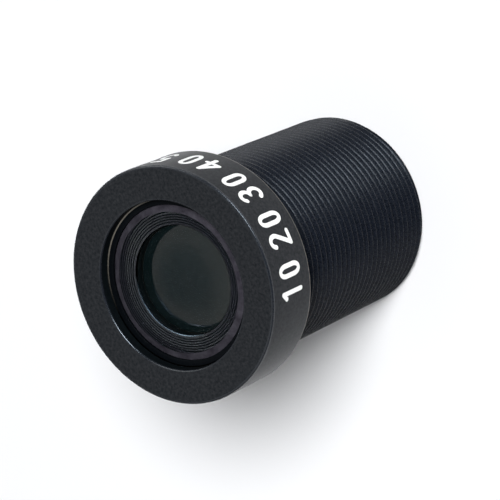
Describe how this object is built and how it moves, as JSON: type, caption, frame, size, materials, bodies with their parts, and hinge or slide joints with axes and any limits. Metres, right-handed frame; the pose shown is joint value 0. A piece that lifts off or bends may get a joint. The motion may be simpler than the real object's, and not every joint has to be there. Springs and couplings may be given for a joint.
{
  "type": "m12 board camera lens",
  "caption": "Fixed focus board camera lens: a round head and a finely threaded black barrel that hold a stack of glasses, spacers, a stop and two retaining rings.",
  "frame": {"origin": "centre of the barrel's rear face, on the lens axis", "axes": "+Z along the lens axis from the rear face to the front glass; the lens is round about Z, so +X and +Y are free"},
  "size_m": [0.014, 0.014, 0.0182],
  "materials": {
    "barrel_black": "black anodised, turned",
    "ring_black": "black anodised, turned",
    "front_glass": "polished, with an anti-reflection coating",
    "inner_glass": "polished, with an anti-reflection coating",
    "rear_glass": "polished, with an anti-reflection coating",
    "spacer_black": "matt black anodised",
    "stop_black": "matt black"
  },
  "bodies": {
    "root": {"barrel": "barrel_black", "front_retaining_ring": "ring_black", "front_lens": "front_glass", "second_lens": "inner_glass", "third_lens": "inner_glass", "front_spacer": "spacer_black", "aperture_stop": "stop_black", "rear_spacer": "spacer_black", "fourth_lens": "inner_glass", "fifth_lens": "inner_glass", "long_spacer": "spacer_black", "rear_lens": "rear_glass", "rear_retaining_ring": "ring_black"}
  },
  "joints": []
}
